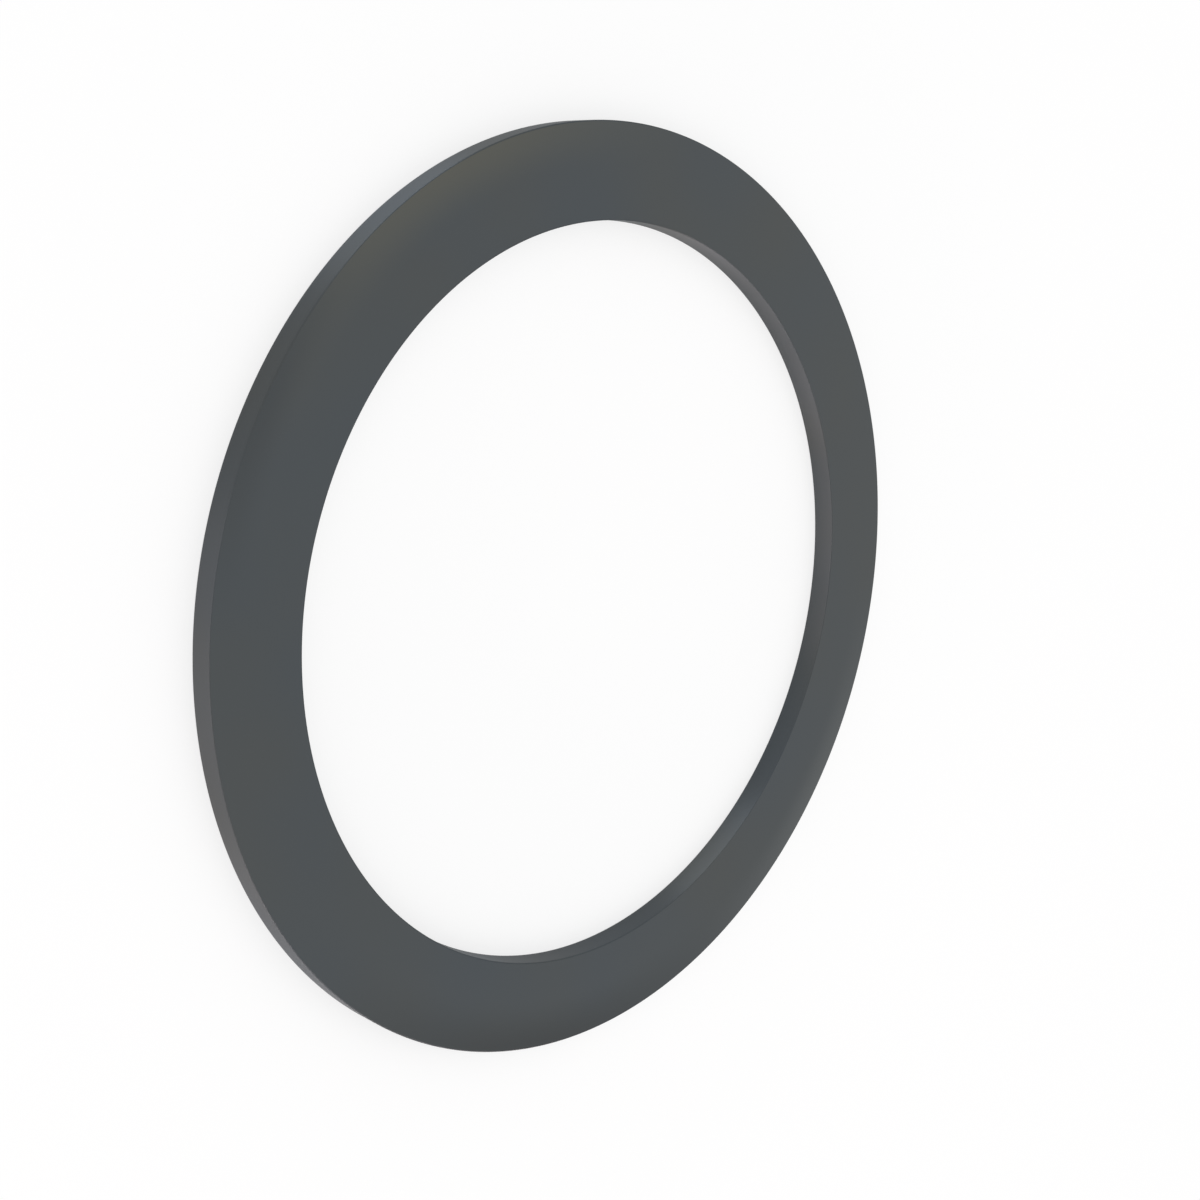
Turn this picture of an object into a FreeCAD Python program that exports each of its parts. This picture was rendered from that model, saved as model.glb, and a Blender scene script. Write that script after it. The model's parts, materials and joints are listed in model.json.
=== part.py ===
import FreeCAD, Part

import math
import os

# Thrust washer: a flat, ground ring of hardened steel. It sits round a shaft, between a shoulder
# and the housing or bearing beside it, and takes the end load on its two faces.
#
# Units are millimetres and +Z is up, along the shaft. The origin is on the shaft's axis, in the
# face that the ring lies on.

# What the ring goes round, and the width of the seat that it fills beside it, from the shaft to
# the wall of the recess: 7.5 mm round a 60 mm shaft is a 75 mm recess
SHAFT_DIAMETER = 60.0
SEAT_WIDTH = 7.5

# The play on the shaft and in the recess, measured across the diameter
SHAFT_CLEARANCE = 0.12
RECESS_CLEARANCE = 0.10

# The ring's own sizes
THICKNESS = 2.0
BORE_EDGE_RADIUS = 0.10
RIM_EDGE_RADIUS = 0.10

BORE_RADIUS = (SHAFT_DIAMETER + SHAFT_CLEARANCE) / 2
RIM_RADIUS = SHAFT_DIAMETER / 2 + SEAT_WIDTH - RECESS_CLEARANCE / 2

AXIS_POINT = FreeCAD.Vector(0, 0, 0)
AXIS = FreeCAD.Vector(0, 0, 1)


def section_corner(wall, face, inward, upward, radius):
    """A broken edge of the section: where it leaves the wall, its middle, and where it meets the face.

    wall and face are the radius of the wall and the height of the face that meet in the corner.
    inward and upward are 1 or -1: the way from the wall, and from the face, into the steel.
    """
    centre = FreeCAD.Vector(wall + inward * radius, 0, face + upward * radius)
    diagonal = radius * math.sqrt(0.5)
    on_wall = FreeCAD.Vector(wall, 0, centre.z)
    middle = FreeCAD.Vector(centre.x - inward * diagonal, 0, centre.z - upward * diagonal)
    on_face = FreeCAD.Vector(centre.x, 0, face)
    return on_wall, middle, on_face


def washer_section():
    """The ring's section in the XZ plane: two walls and two faces, with the four corners rounded."""
    bore_bottom = section_corner(BORE_RADIUS, 0, 1, 1, BORE_EDGE_RADIUS)
    bore_top = section_corner(BORE_RADIUS, THICKNESS, 1, -1, BORE_EDGE_RADIUS)
    rim_bottom = section_corner(RIM_RADIUS, 0, -1, 1, RIM_EDGE_RADIUS)
    rim_top = section_corner(RIM_RADIUS, THICKNESS, -1, -1, RIM_EDGE_RADIUS)

    # Each corner's three points run from its wall to its face
    outline = [
        Part.Arc(*bore_bottom).toShape(),
        Part.LineSegment(bore_bottom[2], rim_bottom[2]).toShape(),
        Part.Arc(*reversed(rim_bottom)).toShape(),
        Part.LineSegment(rim_bottom[0], rim_top[0]).toShape(),
        Part.Arc(*rim_top).toShape(),
        Part.LineSegment(rim_top[2], bore_top[2]).toShape(),
        Part.Arc(*reversed(bore_top)).toShape(),
        Part.LineSegment(bore_top[0], bore_bottom[0]).toShape(),
    ]
    return Part.Face(Part.Wire(outline))


def thrust_washer():
    """The whole ring: its section turned once round the shaft's axis."""
    return washer_section().revolve(AXIS_POINT, AXIS, 360)


def main():
    os.makedirs("parts", exist_ok=True)
    thrust_washer().exportStep("parts/thrust_washer.step")


main()
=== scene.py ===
"""Dresses a thrust washer: a flat ring of blackened steel that lies on a pale studio floor.

The ring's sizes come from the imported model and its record. Lengths are in metres unless a name
says otherwise, and +Z is up, along the axis of the bore.
"""
import json
import logging
import math
from dataclasses import dataclass
from enum import Enum

import bmesh
import bpy
from mathutils import Euler, Matrix, Vector


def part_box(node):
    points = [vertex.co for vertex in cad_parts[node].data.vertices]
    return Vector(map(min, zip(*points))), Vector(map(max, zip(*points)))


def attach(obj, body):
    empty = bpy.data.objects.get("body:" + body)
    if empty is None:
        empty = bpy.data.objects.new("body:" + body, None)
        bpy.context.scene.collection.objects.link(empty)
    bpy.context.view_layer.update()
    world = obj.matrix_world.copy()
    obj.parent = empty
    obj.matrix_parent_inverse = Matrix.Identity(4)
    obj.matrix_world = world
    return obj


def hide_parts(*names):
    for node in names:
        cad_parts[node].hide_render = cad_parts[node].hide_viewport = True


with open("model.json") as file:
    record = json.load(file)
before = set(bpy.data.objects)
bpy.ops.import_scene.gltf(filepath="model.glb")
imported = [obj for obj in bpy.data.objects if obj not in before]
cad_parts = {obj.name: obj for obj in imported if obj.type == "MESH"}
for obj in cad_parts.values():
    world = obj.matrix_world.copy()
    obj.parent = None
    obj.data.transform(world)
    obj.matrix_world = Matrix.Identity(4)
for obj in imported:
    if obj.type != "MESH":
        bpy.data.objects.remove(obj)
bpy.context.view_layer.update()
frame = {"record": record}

log = logging.getLogger("thrust_washer")

MM = 0.001
NODE = "thrust_washer"
BODY = "root"

# The noise that the patches come from stays nearly always between these two values
NOISE_LOW = 0.3
NOISE_HIGH = 0.7

# A surface whose normal is upright to this share, up or down, is one of the two flat faces
FLAT_SHARE = 0.9999

# The shader's reflections are drawn out along the tangent. A quarter turn lays them across it
QUARTER_TURN = 0.25

Colour = tuple[float, float, float]
Size = tuple[float, float, float]
Place = tuple[float, float, float]


class Marks(Enum):
    """The way that the fine marks of the last cut run over a surface of the ring."""

    WHEEL_ARCS = "arcs that a grinding wheel leaves across a face"
    ROUND_THE_AXIS = "lines that turning leaves round the bore and the rim"


@dataclass
class Wiring:
    """Puts nodes into one tree and joins them.

    Attributes:
        tree: The tree that the nodes go into.
    """

    tree: bpy.types.NodeTree

    def add(
        self, kind: str, sockets: dict[str | int, object] | None = None, **settings: object
    ) -> bpy.types.Node:
        """Adds a node.

        Args:
            kind: The node's type.
            sockets: What its inputs take, by name or number: a value, or an output to join to them.
            **settings: The node's own properties.

        Returns:
            The new node.
        """
        node = self.tree.nodes.new(kind)
        for name, value in settings.items():
            setattr(node, name, value)
        for key, value in (sockets or {}).items():
            if isinstance(value, bpy.types.NodeSocket):
                self.tree.links.new(value, node.inputs[key])
            else:
                node.inputs[key].default_value = value
        return node

    def math(self, operation: str, *values: object) -> bpy.types.NodeSocket:
        """One step of arithmetic on numbers.

        Args:
            operation: The name of the operation.
            *values: The numbers or outputs that it takes.

        Returns:
            The output that holds the result.
        """
        return self.add("ShaderNodeMath", dict(enumerate(values)), operation=operation).outputs[0]

    def vector_math(self, operation: str, *values: object) -> bpy.types.NodeSocket:
        """One step of arithmetic on vectors, as math does it on numbers."""
        return self.add("ShaderNodeVectorMath", dict(enumerate(values)), operation=operation).outputs[0]


def new_group(
    name: str, kind: str, inputs: dict[str, tuple[str, object]], outputs: dict[str, str]
) -> tuple[Wiring, bpy.types.Node]:
    """Starts a node group with named sockets.

    Args:
        name: The group's name.
        kind: The type of its tree.
        inputs: The type and first value of each input. A value of None is left as it is.
        outputs: The type of each output.

    Returns:
        The wiring of its tree, and the node that its inputs come from.
    """
    tree = bpy.data.node_groups.new(name, kind)
    for label, (socket, value) in inputs.items():
        made = tree.interface.new_socket(label, in_out="INPUT", socket_type=socket)
        if value is not None:
            made.default_value = value
    for label, socket in outputs.items():
        tree.interface.new_socket(label, in_out="OUTPUT", socket_type=socket)
    wiring = Wiring(tree)
    return wiring, wiring.add("NodeGroupInput")


def bath_tone_group() -> bpy.types.NodeTree:
    """Builds the shader group for the faint cloudiness that a blackening bath leaves.

    Returns:
        A group that goes between two colours in soft patches, and shifts the roughness with them.
    """
    wiring, given = new_group(
        "bath_tone",
        "ShaderNodeTree",
        {
            "Vector": ("NodeSocketVector", None),
            "Cool": ("NodeSocketColor", None),
            "Warm": ("NodeSocketColor", None),
            "Roughness": ("NodeSocketFloat", 0.4),
            "Roughness Spread": ("NodeSocketFloat", 0.02),
            "Patch Size": ("NodeSocketFloat", 10 * MM),
            "Seed": ("NodeSocketFloat", 0.0),
        },
        {"Colour": "NodeSocketColor", "Roughness": "NodeSocketFloat"},
    )
    clouds = wiring.add(
        "ShaderNodeTexNoise",
        {
            "Vector": given.outputs["Vector"],
            "W": given.outputs["Seed"],
            "Scale": wiring.math("DIVIDE", 1.0, given.outputs["Patch Size"]),
            "Detail": 1.0,
            "Roughness": 0.45,
        },
        noise_dimensions="4D",
    )
    patches = wiring.add(
        "ShaderNodeMapRange",
        {"Value": clouds.outputs["Fac"], "From Min": NOISE_LOW, "From Max": NOISE_HIGH},
    )
    patch = patches.outputs["Result"]
    between = wiring.add(
        "ShaderNodeMix",
        {0: patch, 6: given.outputs["Cool"], 7: given.outputs["Warm"]},
        data_type="RGBA",
    )
    swing = wiring.math("MULTIPLY_ADD", patch, 2.0, -1.0)
    spread = wiring.math("MULTIPLY", swing, given.outputs["Roughness Spread"])
    rough = wiring.math("ADD", spread, given.outputs["Roughness"])
    wiring.add("NodeGroupOutput", {"Colour": between.outputs[2], "Roughness": rough})
    return wiring.tree


def cut_marks_group() -> bpy.types.NodeTree:
    """Builds the shader group for the fine marks that a wheel or a tool leaves in steel.

    Returns:
        A group that gives the height of long thin marks, from 0 to 1.
    """
    wiring, given = new_group(
        "cut_marks",
        "ShaderNodeTree",
        {"Vector": ("NodeSocketVector", None), "Mark Size": ("NodeSocketVector", None)},
        {"Height": "NodeSocketFloat"},
    )
    marks = wiring.add(
        "ShaderNodeTexNoise",
        {
            "Vector": wiring.vector_math("DIVIDE", given.outputs["Vector"], given.outputs["Mark Size"]),
            "Scale": 1.0,
            "Detail": 2.0,
            "Roughness": 0.6,
        },
    )
    wiring.add("NodeGroupOutput", {"Height": marks.outputs["Fac"]})
    return wiring.tree


def painted_reflection_arc_group() -> bpy.types.NodeTree:
    """Builds the shader group for a soft arc of painted reflection that lies along the rim, on a face.

    Returns:
        A group that gives how deep in the arc a place is, from 0 to 1.
    """
    wiring, given = new_group(
        "painted_reflection_arc",
        "ShaderNodeTree",
        {
            "Vector": ("NodeSocketVector", None),
            "Heading": ("NodeSocketVector", None),
            "Half Angle": ("NodeSocketFloat", 0.5),
            "Rim Radius": ("NodeSocketFloat", 10 * MM),
            "Depth": ("NodeSocketFloat", 1 * MM),
        },
        {"Strength": "NodeSocketFloat"},
    )
    level = wiring.vector_math("MULTIPLY", given.outputs["Vector"], (1.0, 1.0, 0.0))
    radius = wiring.add("ShaderNodeVectorMath", {0: level}, operation="LENGTH").outputs["Value"]
    towards = wiring.add(
        "ShaderNodeVectorMath",
        {0: wiring.vector_math("NORMALIZE", level), 1: given.outputs["Heading"]},
        operation="DOT_PRODUCT",
    )
    angle = wiring.math("ARCCOSINE", towards.outputs["Value"])
    along = wiring.add(
        "ShaderNodeMapRange",
        {"Value": wiring.math("DIVIDE", angle, given.outputs["Half Angle"]), "To Min": 1.0, "To Max": 0.0},
        interpolation_type="SMOOTHSTEP",
    )
    from_rim = wiring.math("SUBTRACT", given.outputs["Rim Radius"], radius)
    inwards = wiring.add(
        "ShaderNodeMapRange",
        {"Value": wiring.math("DIVIDE", from_rim, given.outputs["Depth"]), "To Min": 1.0, "To Max": 0.0},
        interpolation_type="SMOOTHSTEP",
    )
    strength = wiring.math("MULTIPLY", along.outputs["Result"], inwards.outputs["Result"])
    wiring.add("NodeGroupOutput", {"Strength": strength})
    return wiring.tree


@dataclass(frozen=True)
class SharedEffects:
    """The shader groups that every finish of the ring is made with.

    Attributes:
        tone: The bath's cloudiness.
        marks: The cut's marks.
        arc: A soft arc of painted reflection along the rim.
    """

    tone: bpy.types.NodeTree
    marks: bpy.types.NodeTree
    arc: bpy.types.NodeTree

    @classmethod
    def build(cls) -> "SharedEffects":
        """Builds each group once."""
        return cls(tone=bath_tone_group(), marks=cut_marks_group(), arc=painted_reflection_arc_group())


@dataclass(frozen=True)
class PaintedReflectionArc:
    """A soft arc along the rim where a reflection of the light round the face is painted into its colour,
    lighter or darker than elsewhere.

    Attributes:
        azimuth: Where its middle is, in degrees from +X towards +Y.
        half_angle: How far it reaches to each side of its middle, in degrees.
        depth: How far it reaches in from the rim.
        colour: Its colour at its strongest.
        cover: How much of the finish under it that colour hides there, from 0 to 1.
    """

    azimuth: float
    half_angle: float
    depth: float
    colour: Colour
    cover: float = 1.0


@dataclass(frozen=True)
class BlackenedSteel:
    """Hardened steel with a black oxide finish, over the marks that the last cut left in it.

    Attributes:
        name: The material's name.
        marks: The way that the marks run.
        mark_size: The size of one mark, across it, along it and down: for wheel arcs, outwards
            from the wheel's centre, along the arc, and in Z. Round the axis, in X, Y and Z.
        mark_height: How far the marks stand up.
        roughness: How soft its reflections are.
        drawn_out: How far the marks draw its reflections out across them, from 0 to 1.
        skim: How much of bare metal's shine the oxide leaves it where light skims the surface.
        cool: Its colour where the bath took well.
        warm: Its colour between those patches.
        metallic: How far it shines as bare metal does.
        roughness_spread: How far the roughness goes up and down with the patches.
        patch_size: The size of one patch.
        seed: Which of the many patterns of patches it has.
        wheel_centre: Where the wheel that ground the faces turned.
        arcs: The arcs of painted reflection along its rim, lighter and darker.
    """

    name: str
    marks: Marks
    mark_size: Size
    mark_height: float
    roughness: float
    drawn_out: float = 0.0
    skim: float = 1.0
    cool: Colour = (0.0668, 0.0775, 0.0860)
    warm: Colour = (0.0745, 0.0800, 0.0790)
    metallic: float = 0.85
    roughness_spread: float = 0.01
    patch_size: float = 14 * MM
    seed: float = 114.0
    wheel_centre: Place = (-0.15, 0.0, 0.0)
    arcs: tuple[PaintedReflectionArc, ...] = ()

    def mark_place(self, wiring: Wiring, place: bpy.types.NodeSocket) -> bpy.types.NodeSocket:
        """Unrolls the places on the surface so that its marks lie along straight lines.

        Args:
            wiring: The material's own wiring.
            place: The output that holds the place on the ring.

        Returns:
            The output that holds the unrolled place, in metres.
        """
        if self.marks is Marks.ROUND_THE_AXIS:
            return place
        from_wheel = wiring.add(
            "ShaderNodeSeparateXYZ", {0: wiring.vector_math("SUBTRACT", place, self.wheel_centre)}
        )
        x, y, z = from_wheel.outputs
        squares = wiring.math("ADD", wiring.math("MULTIPLY", x, x), wiring.math("MULTIPLY", y, y))
        reach = wiring.math("SQRT", squares)
        along = wiring.math("MULTIPLY", wiring.math("ARCTAN2", y, x), reach)
        return wiring.add("ShaderNodeCombineXYZ", {0: reach, 1: along, 2: z}).outputs[0]

    def with_painted_reflections(
        self,
        wiring: Wiring,
        place: bpy.types.NodeSocket,
        colour: bpy.types.NodeSocket,
        effects: SharedEffects,
        rim: float,
    ) -> bpy.types.NodeSocket:
        """Lays the arcs of painted reflection along the rim over a colour.

        Args:
            wiring: The material's own wiring.
            place: The output that holds the place on the ring.
            colour: The output that holds the colour under the arcs.
            effects: The shared shader groups.
            rim: The radius of the ring's rim.

        Returns:
            The output that holds the colour with every arc in it.
        """
        # Each arc paints a lighter or darker reflection into the base colour
        for arc in self.arcs:
            turn = math.radians(arc.azimuth)
            found = wiring.add(
                "ShaderNodeGroup",
                {
                    "Vector": place,
                    "Heading": (math.cos(turn), math.sin(turn), 0.0),
                    "Half Angle": math.radians(arc.half_angle),
                    "Rim Radius": rim,
                    "Depth": arc.depth,
                },
                node_tree=effects.arc,
            )
            over = wiring.add(
                "ShaderNodeMix",
                {
                    0: wiring.math("MULTIPLY", found.outputs["Strength"], arc.cover),
                    6: colour,
                    7: (*arc.colour, 1.0),
                },
                data_type="RGBA",
            )
            colour = over.outputs[2]
        return colour

    def material(self, effects: SharedEffects, rim: float) -> bpy.types.Material:
        """Builds the material.

        Args:
            effects: The shared shader groups.
            rim: The radius of the ring's rim.

        Returns:
            The new material.
        """
        made = bpy.data.materials.new(self.name)
        made.use_nodes = True
        made.node_tree.nodes.clear()
        wiring = Wiring(made.node_tree)
        place = wiring.add("ShaderNodeTexCoord").outputs["Object"]
        finish = wiring.add(
            "ShaderNodeGroup",
            {
                "Vector": place,
                "Cool": (*self.cool, 1.0),
                "Warm": (*self.warm, 1.0),
                "Roughness": self.roughness,
                "Roughness Spread": self.roughness_spread,
                "Patch Size": self.patch_size,
                "Seed": self.seed,
            },
            node_tree=effects.tone,
        )
        cut = wiring.add(
            "ShaderNodeGroup",
            {"Vector": self.mark_place(wiring, place), "Mark Size": self.mark_size},
            node_tree=effects.marks,
        )
        bump = wiring.add(
            "ShaderNodeBump", {"Distance": self.mark_height, "Height": cut.outputs["Height"]}
        )
        steel = wiring.add(
            "ShaderNodeBsdfPrincipled",
            {
                "Base Color": self.with_painted_reflections(wiring, place, finish.outputs["Colour"], effects, rim),
                "Roughness": finish.outputs["Roughness"],
                "Metallic": self.metallic,
                "Specular Tint": (self.skim, self.skim, self.skim, 1.0),
                "Normal": bump.outputs["Normal"],
            },
        )
        if self.drawn_out:
            round_the_axis = wiring.add("ShaderNodeTangent", direction_type="RADIAL", axis="Z")
            wiring.tree.links.new(round_the_axis.outputs["Tangent"], steel.inputs["Tangent"])
            steel.inputs["Anisotropic"].default_value = self.drawn_out
            steel.inputs["Anisotropic Rotation"].default_value = QUARTER_TURN
        wiring.add("ShaderNodeOutputMaterial", {"Surface": steel.outputs["BSDF"]})
        return made


@dataclass
class WasherRing:
    """The washer: one rounded rectangular section carried round the axis of the bore.

    Attributes:
        bore_radius: The radius of the bore's wall.
        rim_radius: The radius of the rim's wall.
        thickness: The distance between the two faces.
        edge_radius: The radius of the four broken edges.
        base: The height of the face that the ring lies on.
        steps_round: How many steps the ring has round its axis.
        steps_edge: How many steps each broken edge has.
        steps_side: How many steps each straight side of the section has.
    """

    bore_radius: float
    rim_radius: float
    thickness: float
    edge_radius: float
    base: float
    steps_round: int = 720
    steps_edge: int = 8
    steps_side: int = 5

    @classmethod
    def from_frame(cls) -> "WasherRing":
        """Reads the ring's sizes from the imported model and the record's mounts."""
        low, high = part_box(NODE)
        bore = next(mount for mount in frame["record"]["mounts"] if mount["name"] == "bore")
        thickness = high.z - low.z
        return cls(
            bore_radius=bore["dims"]["r_mm"] * MM,
            rim_radius=min(high.x, high.y, -low.x, -low.y),
            thickness=thickness,
            edge_radius=(thickness - bore["dims"]["length_mm"] * MM) / 2,
            base=low.z,
        )

    def section_tree(self) -> bpy.types.NodeTree:
        """Builds the geometry tree that draws the section and carries it round the axis.

        Returns:
            A tree with an input for each size of the ring and for its two finishes.
        """
        wiring, given = new_group(
            "washer_ring",
            "GeometryNodeTree",
            {
                "Bore Radius": ("NodeSocketFloat", None),
                "Rim Radius": ("NodeSocketFloat", None),
                "Thickness": ("NodeSocketFloat", None),
                "Edge Radius": ("NodeSocketFloat", None),
                "Base": ("NodeSocketFloat", None),
                "Steps Round": ("NodeSocketInt", None),
                "Steps Edge": ("NodeSocketInt", None),
                "Steps Side": ("NodeSocketInt", None),
                "Face Finish": ("NodeSocketMaterial", None),
                "Wall Finish": ("NodeSocketMaterial", None),
            },
            {"Geometry": "NodeSocketGeometry"},
        )
        size = given.outputs

        # The path: a circle midway between the bore and the rim, at half the ring's height
        both_radii = wiring.math("ADD", size["Bore Radius"], size["Rim Radius"])
        circle = wiring.add(
            "GeometryNodeCurvePrimitiveCircle",
            {"Resolution": size["Steps Round"], "Radius": wiring.math("DIVIDE", both_radii, 2.0)},
        )
        level = wiring.add("GeometryNodeSetCurveNormal", {"Curve": circle.outputs["Curve"]}, mode="Z_UP")

        # The section: a rectangle with extra points along its sides, and only its corners rounded
        width = wiring.math("SUBTRACT", size["Rim Radius"], size["Bore Radius"])
        rectangle = wiring.add(
            "GeometryNodeCurvePrimitiveQuadrilateral", {"Width": width, "Height": size["Thickness"]}
        )
        cuts = wiring.math("SUBTRACT", size["Steps Side"], 1.0)
        sides = wiring.add(
            "GeometryNodeSubdivideCurve", {"Curve": rectangle.outputs["Curve"], "Cuts": cuts}
        )
        index = wiring.add("GeometryNodeInputIndex").outputs["Index"]
        is_corner = wiring.math("LESS_THAN", wiring.math("MODULO", index, size["Steps Side"]), 0.5)
        section = wiring.add(
            "GeometryNodeFilletCurve",
            {
                "Curve": sides.outputs["Curve"],
                "Count": size["Steps Edge"],
                "Radius": wiring.math("MULTIPLY", is_corner, size["Edge Radius"]),
            },
            mode="POLY",
        )
        swept = wiring.add(
            "GeometryNodeCurveToMesh",
            {"Curve": level.outputs["Curve"], "Profile Curve": section.outputs["Curve"]},
        )
        half_height = wiring.math("MULTIPLY_ADD", size["Thickness"], 0.5, size["Base"])
        raised = wiring.add(
            "GeometryNodeTransform",
            {
                "Geometry": swept.outputs["Mesh"],
                "Translation": wiring.add("ShaderNodeCombineXYZ", {"Z": half_height}).outputs[0],
            },
        )

        # The two faces are flat. The walls and the broken edges are round
        normal = wiring.add("GeometryNodeInputNormal").outputs["True Normal"]
        level_share = wiring.math("ABSOLUTE", wiring.add("ShaderNodeSeparateXYZ", {0: normal}).outputs["Z"])
        is_face = wiring.math("GREATER_THAN", level_share, FLAT_SHARE)
        shaded = wiring.add(
            "GeometryNodeSetShadeSmooth",
            {"Geometry": raised.outputs["Geometry"], "Selection": is_face, "Shade Smooth": False},
        )
        realized = wiring.add("GeometryNodeRealizeInstances", {"Geometry": shaded.outputs["Geometry"]})
        walls = wiring.add(
            "GeometryNodeSetMaterial",
            {"Geometry": realized.outputs["Geometry"], "Material": size["Wall Finish"]},
        )
        faces = wiring.add(
            "GeometryNodeSetMaterial",
            {"Geometry": walls.outputs["Geometry"], "Selection": is_face, "Material": size["Face Finish"]},
        )
        wiring.add("NodeGroupOutput", {"Geometry": faces.outputs["Geometry"]})
        return wiring.tree

    def build(self, face: bpy.types.Material, wall: bpy.types.Material) -> bpy.types.Object:
        """Makes the ring as a plain mesh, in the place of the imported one.

        Args:
            face: The finish of the two faces.
            wall: The finish of the bore, the rim and the broken edges.

        Returns:
            The ring's object.
        """
        values = {
            "Bore Radius": self.bore_radius,
            "Rim Radius": self.rim_radius,
            "Thickness": self.thickness,
            "Edge Radius": self.edge_radius,
            "Base": self.base,
            "Steps Round": self.steps_round,
            "Steps Edge": self.steps_edge,
            "Steps Side": self.steps_side,
            "Face Finish": face,
            "Wall Finish": wall,
        }
        ring = bpy.data.objects.new("ground_ring", bpy.data.meshes.new("ground_ring"))
        bpy.context.scene.collection.objects.link(ring)
        modifier = ring.modifiers.new("washer_ring", "NODES")
        modifier.node_group = self.section_tree()
        for socket in modifier.node_group.interface.items_tree:
            if socket.item_type == "SOCKET" and socket.in_out == "INPUT":
                modifier[socket.identifier] = values[socket.name]
        evaluated = ring.evaluated_get(bpy.context.evaluated_depsgraph_get())
        solid = bpy.data.meshes.new_from_object(evaluated)
        ring.modifiers.remove(modifier)
        turn_outwards(solid)
        ring.data = solid
        return ring


def turn_outwards(mesh: bpy.types.Mesh) -> None:
    """Points every face of a closed mesh outwards.

    Args:
        mesh: The mesh, which is changed in place.
    """
    work = bmesh.new()
    work.from_mesh(mesh)
    bmesh.ops.recalc_face_normals(work, faces=work.faces)
    work.to_mesh(mesh)
    work.free()


@dataclass(frozen=True)
class Softbox:
    """A soft lamp that faces the ring.

    Attributes:
        name: The lamp's name.
        azimuth: Where it stands, in degrees from +X towards +Y.
        brightness: How bright it looks, where 1 is white.
        elevation: How high it stands, in degrees over the floor.
        width: Its width, level with the floor.
        height: Its height.
        colour: The colour of its light.
        distance: How far it is from the ring's middle.
    """

    name: str
    azimuth: float
    brightness: float
    elevation: float = 2.8
    width: float = 0.5
    height: float = 0.1
    colour: Colour = (1.0, 1.0, 1.0)
    distance: float = 1.2

    def build(self) -> bpy.types.Object:
        """Hangs the lamp in its place, turned to the ring's middle."""
        light = bpy.data.lights.new(self.name, "AREA")
        light.shape = "RECTANGLE"
        light.size = self.width
        light.size_y = self.height
        light.color = self.colour
        # An even flat lamp that gives pi watts from each square metre looks as bright as white
        light.energy = self.brightness * math.pi * self.width * self.height
        lamp = bpy.data.objects.new(self.name, light)
        turn, rise = math.radians(self.azimuth), math.radians(self.elevation)
        lamp.location = self.distance * Vector(
            (math.cos(turn) * math.cos(rise), math.sin(turn) * math.cos(rise), math.sin(rise))
        )
        lamp.rotation_euler = lamp.location.to_track_quat("Z", "Y").to_euler()
        lamp.visible_camera = False
        bpy.context.scene.collection.objects.link(lamp)
        return lamp


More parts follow.
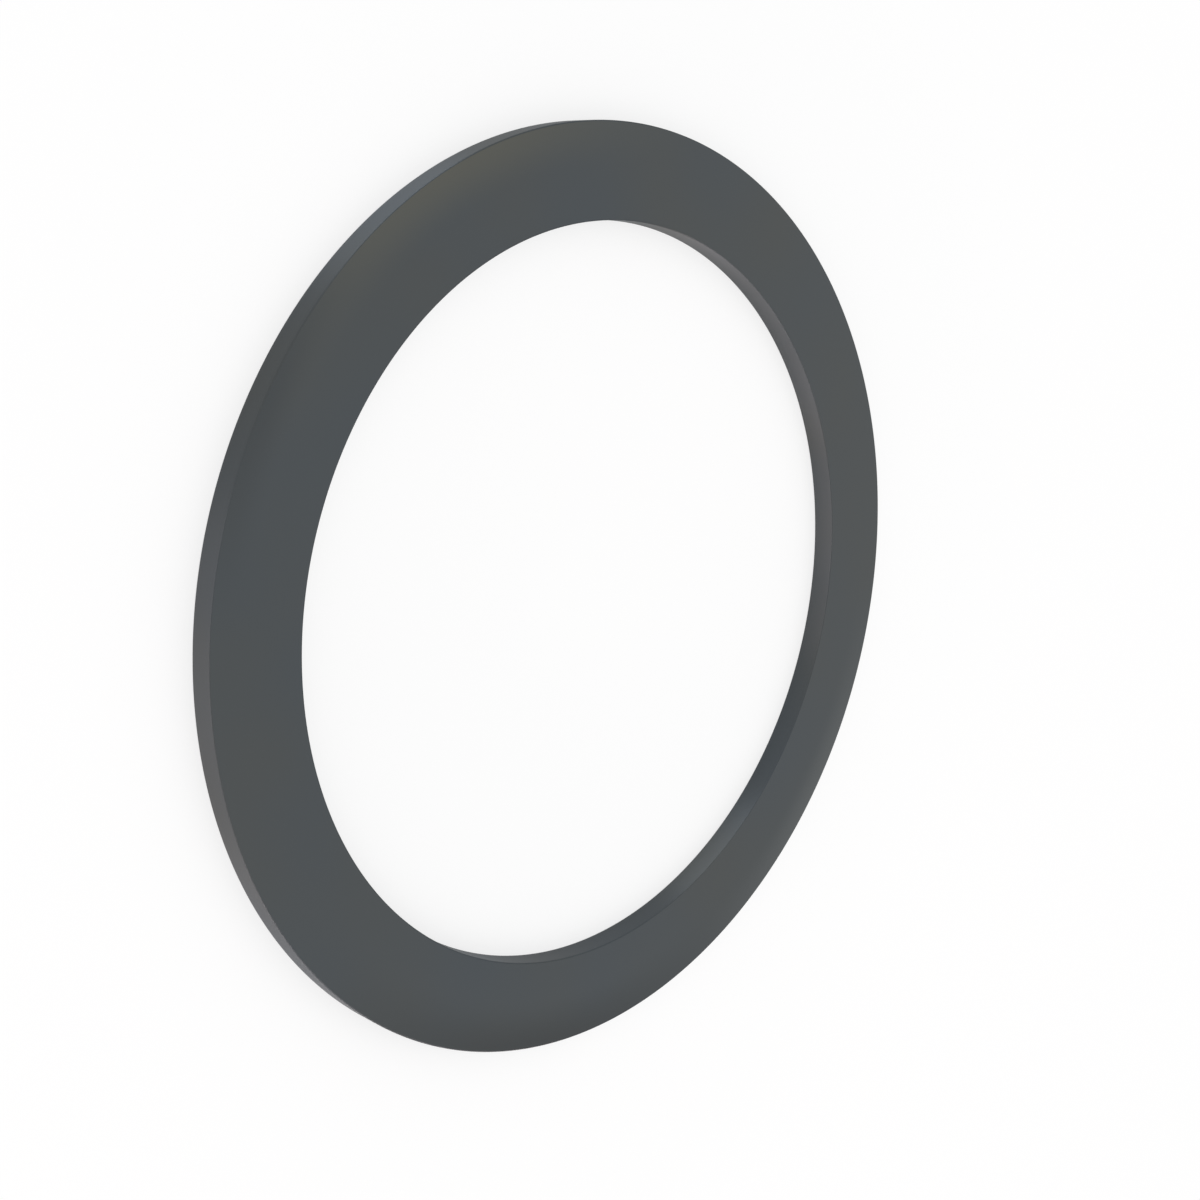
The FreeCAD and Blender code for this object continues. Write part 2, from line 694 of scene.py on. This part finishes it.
@dataclass(frozen=True)
class Studio:
    """The pale floor, the room's own light and the lamps.

    Attributes:
        softboxes: The lamps.
        white: The colour of the room, and of the floor where its look is plain white.
        floor_radius: How far the floor reaches.
        floor_steps: How many steps the floor's edge has.
        floor_drop: How far the floor lies below the ring, so that no two surfaces share a plane.
        floor_colour: The colour of the floor's paint.
        floor_glow: How much of the floor's look beside the ring is plain white, whatever light
            falls on it.
        glow_from: How far from the ring's middle that share starts to grow.
        glow_to: How far from the ring's middle the floor is all plain white.
    """

    softboxes: tuple[Softbox, ...]
    white: Colour = (0.985, 0.985, 0.985)
    floor_radius: float = 6.0
    floor_steps: int = 96
    floor_drop: float = 0.02 * MM
    floor_colour: Colour = (0.97, 0.97, 0.97)
    floor_glow: float = 0.7
    glow_from: float = 80 * MM
    glow_to: float = 400 * MM

    def floor_finish(self) -> bpy.types.Material:
        """Builds the floor's paint, which turns plain white further out and is clear from below.

        Returns:
            The new material.
        """
        finish = bpy.data.materials.new("studio_floor")
        finish.use_nodes = True
        finish.node_tree.nodes.clear()
        wiring = Wiring(finish.node_tree)
        place = wiring.add("ShaderNodeTexCoord").outputs["Object"]
        reach = wiring.add("ShaderNodeVectorMath", {0: place}, operation="LENGTH")
        share = wiring.add(
            "ShaderNodeMapRange",
            {
                "Value": reach.outputs["Value"],
                "From Min": self.glow_from,
                "From Max": self.glow_to,
                "To Min": self.floor_glow,
                "To Max": 1.0,
            },
            interpolation_type="SMOOTHSTEP",
        )
        ray = wiring.add("ShaderNodeLightPath").outputs
        mirrored = wiring.math("MAXIMUM", ray["Is Glossy Ray"], ray["Is Transmission Ray"])
        seen = wiring.math("MAXIMUM", ray["Is Camera Ray"], mirrored)
        glow = wiring.math("MULTIPLY", seen, share.outputs["Result"])
        paint = wiring.add("ShaderNodeBsdfDiffuse", {"Color": (*self.floor_colour, 1.0)})
        white = wiring.add("ShaderNodeEmission", {"Color": (*self.white, 1.0), "Strength": 1.0})
        surface = wiring.add(
            "ShaderNodeMixShader", {0: glow, 1: paint.outputs[0], 2: white.outputs[0]}
        )
        from_below = wiring.add("ShaderNodeNewGeometry").outputs["Backfacing"]
        clear = wiring.add("ShaderNodeBsdfTransparent")
        one_sided = wiring.add(
            "ShaderNodeMixShader", {0: from_below, 1: surface.outputs[0], 2: clear.outputs[0]}
        )
        wiring.add("ShaderNodeOutputMaterial", {"Surface": one_sided.outputs["Shader"]})
        return finish

    def build_floor(self, height: float) -> bpy.types.Object:
        """Lays the floor under the ring.

        Args:
            height: The height of what the ring lies on.

        Returns:
            The floor's object.
        """
        work = bmesh.new()
        bmesh.ops.create_circle(
            work, cap_ends=True, radius=self.floor_radius, segments=self.floor_steps
        )
        bmesh.ops.translate(work, verts=work.verts, vec=(0.0, 0.0, height - self.floor_drop))
        mesh = bpy.data.meshes.new("studio_floor")
        work.to_mesh(mesh)
        work.free()
        mesh.materials.append(self.floor_finish())
        floor = bpy.data.objects.new("studio_floor", mesh)
        bpy.context.scene.collection.objects.link(floor)
        return floor

    def build_room(self) -> None:
        """Lights the room evenly from all round."""
        room = bpy.data.worlds.new("studio_room")
        room.use_nodes = True
        room.node_tree.nodes.clear()
        wiring = Wiring(room.node_tree)
        light = wiring.add("ShaderNodeBackground", {"Color": (*self.white, 1.0), "Strength": 1.0})
        wiring.add("ShaderNodeOutputWorld", {"Surface": light.outputs["Background"]})
        bpy.context.scene.world = room

    def build(self, height: float) -> None:
        """Builds the whole studio, with its floor at a height."""
        self.build_floor(height)
        self.build_room()
        for softbox in self.softboxes:
            softbox.build()


@dataclass(frozen=True)
class Viewpoint:
    """The camera: a normal lens that looks down on the ring, turned on its side.

    Attributes:
        lens_mm: The lens's focal length.
        sensor_mm: The sensor's width.
        elevation: How far down it looks, in degrees.
        roll: How far it is turned about its own line of sight, in degrees.
        distance: How far it is from what it looks at.
        target: What it looks at, as a place on the ring's upper face.
    """

    lens_mm: float = 50.0
    sensor_mm: float = 36.0
    elevation: float = 42.532
    roll: float = 103.424
    distance: float = 134.005 * MM
    target: tuple[float, float] = (0.035 * MM, -1.010 * MM)

    def build(self, face_height: float) -> bpy.types.Object:
        """Sets the camera up.

        Args:
            face_height: The height of the ring's upper face.

        Returns:
            The camera's object.
        """
        lens = bpy.data.cameras.new("studio_camera")
        lens.lens = self.lens_mm
        lens.sensor_width = self.sensor_mm
        lens.clip_start = 1 * MM
        camera = bpy.data.objects.new("studio_camera", lens)
        level = Euler((math.radians(90 - self.elevation), 0.0, 0.0)).to_matrix()
        turned = level @ Matrix.Rotation(math.radians(self.roll), 3, "Z")
        back = turned @ Vector((0.0, 0.0, 1.0))
        place = Vector((*self.target, face_height)) + back * self.distance
        camera.matrix_world = Matrix.Translation(place) @ turned.to_4x4()
        bpy.context.scene.collection.objects.link(camera)
        bpy.context.scene.camera = camera
        return camera


FACE_FINISH = BlackenedSteel(
    name="ground_face",
    marks=Marks.WHEEL_ARCS,
    mark_size=(0.16 * MM, 5 * MM, 1 * MM),
    mark_height=0.0006 * MM,
    roughness=0.40,
    skim=0.6,
    cool=(0.0723, 0.0830, 0.0915),
    warm=(0.0800, 0.0855, 0.0845),
    arcs=(
        # This arc is so wide that it paints one side of the face a touch lighter than the other: a painted
        # reflection, the brighter sheen that side has
        PaintedReflectionArc(azimuth=95, half_angle=180, depth=30 * MM, colour=(0.097, 0.105, 0.109), cover=0.4),
        # Painted reflections along the rim: the arcs at 70 and 224 degrees are painted highlights, the one
        # at 224 warm; those at 260 and 5 degrees are painted shade
        PaintedReflectionArc(azimuth=70, half_angle=36, depth=3.2 * MM, colour=(0.111, 0.119, 0.121)),
        PaintedReflectionArc(azimuth=224, half_angle=42, depth=3.7 * MM, colour=(0.1035, 0.1055, 0.0935)),
        PaintedReflectionArc(azimuth=260, half_angle=24, depth=3.0 * MM, colour=(0.065, 0.072, 0.076)),
        PaintedReflectionArc(azimuth=5, half_angle=46, depth=4.5 * MM, colour=(0.062, 0.067, 0.069)),
    ),
)
WALL_FINISH = BlackenedSteel(
    name="turned_wall",
    marks=Marks.ROUND_THE_AXIS,
    mark_size=(4 * MM, 4 * MM, 0.12 * MM),
    mark_height=0.0006 * MM,
    roughness=0.45,
    drawn_out=0.95,
)

# The colours of the light that the walls mirror. The lamps stand so low that the face gets little
PINK = (1.0, 0.83, 0.83)
BLUE = (0.89, 0.92, 1.0)
STUDIO = Studio(
    softboxes=(
        Softbox("lamp_1", azimuth=203, brightness=22, width=0.75, colour=BLUE),
        Softbox("lamp_2", azimuth=282, brightness=12, colour=PINK),
        Softbox("lamp_3", azimuth=305, brightness=19, colour=PINK),
        Softbox("lamp_4", azimuth=328, brightness=17, colour=PINK),
        Softbox("lamp_5", azimuth=350, brightness=25, colour=PINK),
        Softbox("lamp_6", azimuth=15, brightness=21, colour=PINK),
        Softbox("lamp_7", azimuth=40, brightness=24, colour=PINK),
    )
)


def main() -> None:
    """Builds the ring and the studio round it."""
    logging.basicConfig(level=logging.INFO, format="%(name)s: %(message)s")
    effects = SharedEffects.build()
    sizes = WasherRing.from_frame()
    face, wall = (finish.material(effects, sizes.rim_radius) for finish in (FACE_FINISH, WALL_FINISH))
    ring = sizes.build(face, wall)
    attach(ring, BODY)
    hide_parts(NODE)
    log.info("%s: %d faces, %s", ring.name, len(ring.data.polygons), sizes)

    STUDIO.build(sizes.base)
    log.info("studio: %d lamps", len(STUDIO.softboxes))
    Viewpoint().build(sizes.base + sizes.thickness)
    bpy.context.scene.view_settings.view_transform = "Standard"


if __name__ == "__main__":
    main()
